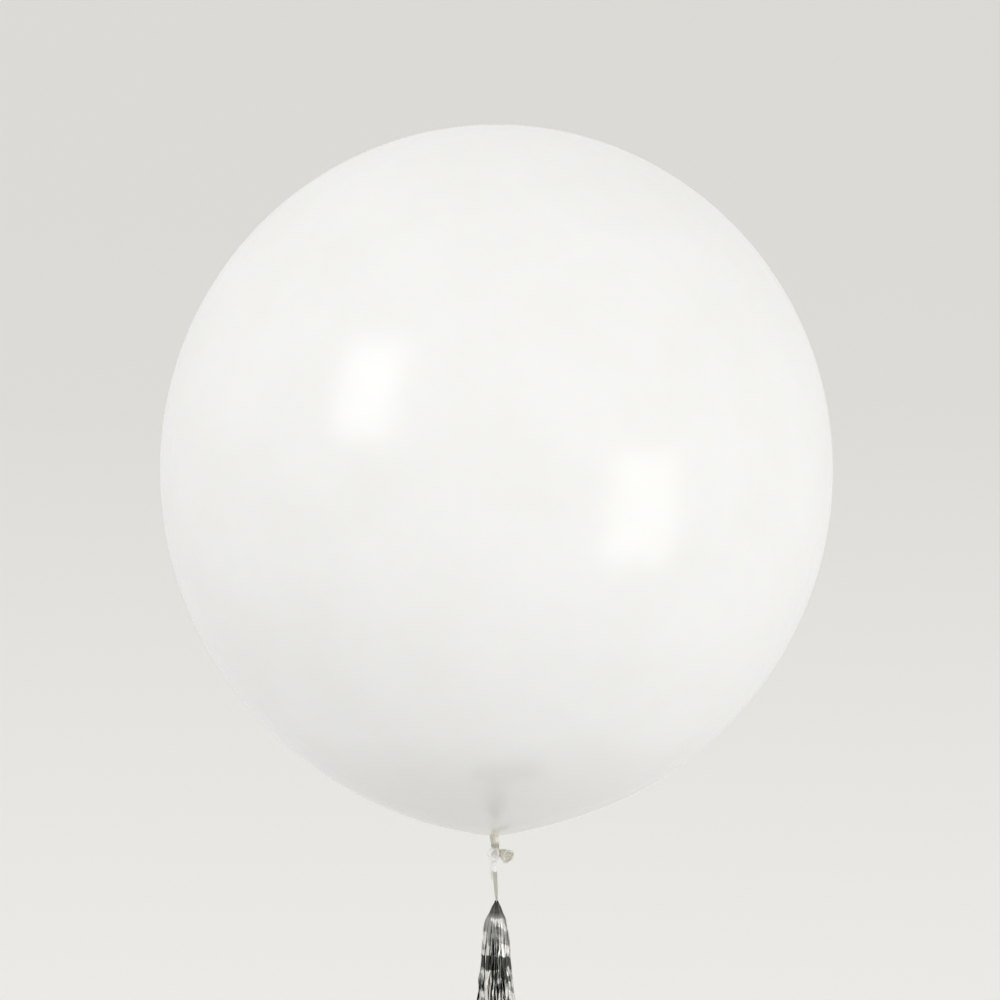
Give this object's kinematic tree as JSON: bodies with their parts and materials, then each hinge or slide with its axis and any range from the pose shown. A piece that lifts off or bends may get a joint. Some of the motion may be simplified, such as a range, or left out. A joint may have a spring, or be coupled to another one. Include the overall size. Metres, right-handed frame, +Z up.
{
  "type": "latex balloon",
  "caption": "Large round white latex balloon, inflated and knotted, with a silver foil tassel hanging from its neck on a short ribbon.",
  "frame": {"origin": "on the balloon's axis, at the middle of the pinch in the neck where the ribbon is tied", "axes": "+Z up the balloon's axis to its crown, -Y towards the viewer, +X to the side that the neck's tail leans to"},
  "size_m": [0.838, 0.8378, 1.2675],
  "materials": {
    "latex": "smooth glossy stretched white latex",
    "latex_thick": "unstretched cream-white latex",
    "ribbon": "satin silver-white ribbon",
    "foil": "mirror-bright silver foil film"
  },
  "bodies": {
    "balloon": {"envelope": "latex", "neck_knot": "latex_thick", "neck_tail": "latex_thick", "rolled_lip": "latex_thick", "ribbon_wraps": "ribbon", "ribbon_leg_left": "ribbon", "ribbon_leg_right": "ribbon"},
    "hitch": {"ribbon_hitch": "ribbon", "ribbon_short_end": "ribbon"},
    "ribbon": {"ribbon_drop": "ribbon"},
    "ribbon_loop": {"ribbon_end_knot": "ribbon", "ribbon_end_loop": "ribbon"},
    "tassel": {"tassel_fold": "foil", "tassel_head": "foil", "strip_middle_01": "foil", "strip_middle_02": "foil", "strip_middle_03": "foil", "strip_middle_04": "foil", "strip_middle_05": "foil", "strip_middle_06": "foil", "strip_middle_07": "foil", "strip_middle_08": "foil", "strip_core_01": "foil", "strip_core_02": "foil", "strip_core_03": "foil", "strip_core_04": "foil", "strip_core_05": "foil", "strip_core_06": "foil"},
    "strips_1": {"strip_outer_01": "foil", "strip_outer_02": "foil"},
    "strips_2": {"strip_outer_03": "foil", "strip_outer_04": "foil"},
    "strips_3": {"strip_outer_05": "foil", "strip_outer_06": "foil"},
    "strips_4": {"strip_outer_07": "foil", "strip_outer_08": "foil"},
    "strips_5": {"strip_outer_09": "foil", "strip_outer_10": "foil"},
    "strips_6": {"strip_outer_11": "foil", "strip_outer_12": "foil"},
    "strips_7": {"strip_outer_13": "foil", "strip_outer_14": "foil"},
    "strips_8": {"strip_outer_15": "foil", "strip_outer_16": "foil"}
  },
  "joints": [
    {"name": "ribbon_sway", "type": "hinge", "parent": "balloon", "child": "hitch", "pos_m": [0, 0, -0.0216], "axis": [0, 1, 0], "range_deg": [-40, 40]},
    {"name": "ribbon_swing", "type": "hinge", "parent": "hitch", "child": "ribbon", "pos_m": [0, 0, -0.0316], "axis": [1, 0, 0], "range_deg": [-45, 45]},
    {"name": "ribbon_twist", "type": "hinge", "parent": "ribbon", "child": "ribbon_loop", "pos_m": [0, 0, -0.0637], "axis": [0, 0, 1], "range_deg": [-180, 180]},
    {"name": "tassel_swing", "type": "hinge", "parent": "ribbon_loop", "child": "tassel", "pos_m": [0, 0, -0.0687], "axis": [1, 0, 0], "range_deg": [-35, 35]},
    {"name": "strips_splay_1", "type": "hinge", "parent": "tassel", "child": "strips_1", "pos_m": [0.01303, 0.0054, -0.0983], "axis": [0.3827, -0.9239, 0], "range_deg": [0, 35]},
    {"name": "strips_splay_2", "type": "hinge", "parent": "tassel", "child": "strips_2", "pos_m": [0.0054, 0.01303, -0.0983], "axis": [0.9239, -0.3827, 0], "range_deg": [0, 35]},
    {"name": "strips_splay_3", "type": "hinge", "parent": "tassel", "child": "strips_3", "pos_m": [-0.0054, 0.01303, -0.0983], "axis": [0.9239, 0.3827, 0], "range_deg": [0, 35]},
    {"name": "strips_splay_4", "type": "hinge", "parent": "tassel", "child": "strips_4", "pos_m": [-0.01303, 0.0054, -0.0983], "axis": [0.3827, 0.9239, 0], "range_deg": [0, 35]},
    {"name": "strips_splay_5", "type": "hinge", "parent": "tassel", "child": "strips_5", "pos_m": [-0.01303, -0.0054, -0.0983], "axis": [-0.3827, 0.9239, 0], "range_deg": [0, 35]},
    {"name": "strips_splay_6", "type": "hinge", "parent": "tassel", "child": "strips_6", "pos_m": [-0.0054, -0.01303, -0.0983], "axis": [-0.9239, 0.3827, 0], "range_deg": [0, 35]},
    {"name": "strips_splay_7", "type": "hinge", "parent": "tassel", "child": "strips_7", "pos_m": [0.0054, -0.01303, -0.0983], "axis": [-0.9239, -0.3827, 0], "range_deg": [0, 35]},
    {"name": "strips_splay_8", "type": "hinge", "parent": "tassel", "child": "strips_8", "pos_m": [0.01303, -0.0054, -0.0983], "axis": [-0.3827, -0.9239, 0], "range_deg": [0, 35]}
  ]
}
